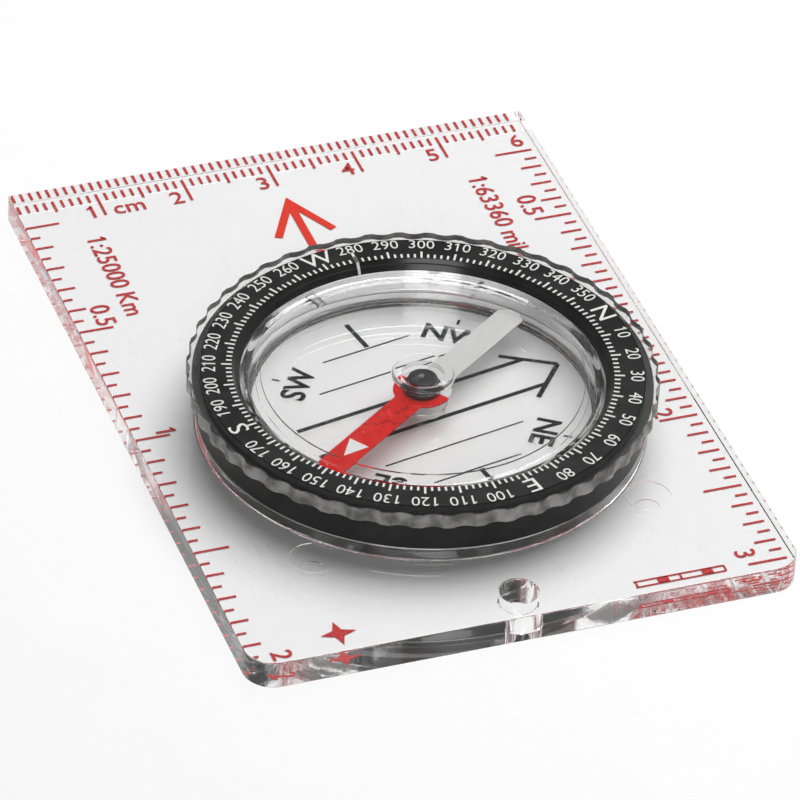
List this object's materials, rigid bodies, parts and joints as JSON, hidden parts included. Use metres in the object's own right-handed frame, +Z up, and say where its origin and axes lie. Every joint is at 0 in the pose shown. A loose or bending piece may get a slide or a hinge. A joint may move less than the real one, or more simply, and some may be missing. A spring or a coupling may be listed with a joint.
{
  "type": "baseplate compass",
  "caption": "Clear ruler plate carrying a turning, liquid-filled compass capsule in a black graduated dial with a scalloped clear grip ring and a magnetic needle.",
  "frame": {"origin": "centre of the plate's underside, the face that lies on the map", "axes": "+Y along the direction of travel, the plate's long side; +X to the right; +Z up, out of the dial's face"},
  "size_m": [0.0602, 0.0856, 0.0099],
  "materials": {
    "clear_acrylic": "polished clear acrylic with red print on the underside",
    "clear_grip": "clear moulded plastic",
    "clear_capsule": "polished clear plastic",
    "black_plastic": "satin black with white graduations",
    "rubber_ring": "plain",
    "pin_steel": "ground and hardened",
    "needle_paint": "one half red, one half silver white",
    "hub_plastic": "moulded black",
    "jewel": "polished"
  },
  "bodies": {
    "base": {"base_plate": "clear_acrylic", "friction_ring": "rubber_ring"},
    "dial": {"dial_ring": "black_plastic", "grip_ring": "clear_grip", "capsule_body": "clear_capsule", "capsule_cover": "clear_capsule", "filler_plug": "clear_capsule", "retaining_ring": "black_plastic", "pivot_pin": "pin_steel"},
    "needle": {"needle_strip": "needle_paint", "needle_hub": "hub_plastic", "jewel_cup": "jewel"}
  },
  "joints": [
    {"name": "dial_turn", "type": "hinge", "parent": "base", "child": "dial", "pos_m": [0, -0.0085, 0.0032], "axis": [0, 0, 1], "continuous": true},
    {"name": "needle_swing", "type": "hinge", "parent": "dial", "child": "needle", "pos_m": [0, -0.0085, 0.00708], "axis": [0, 0, 1], "continuous": true}
  ]
}
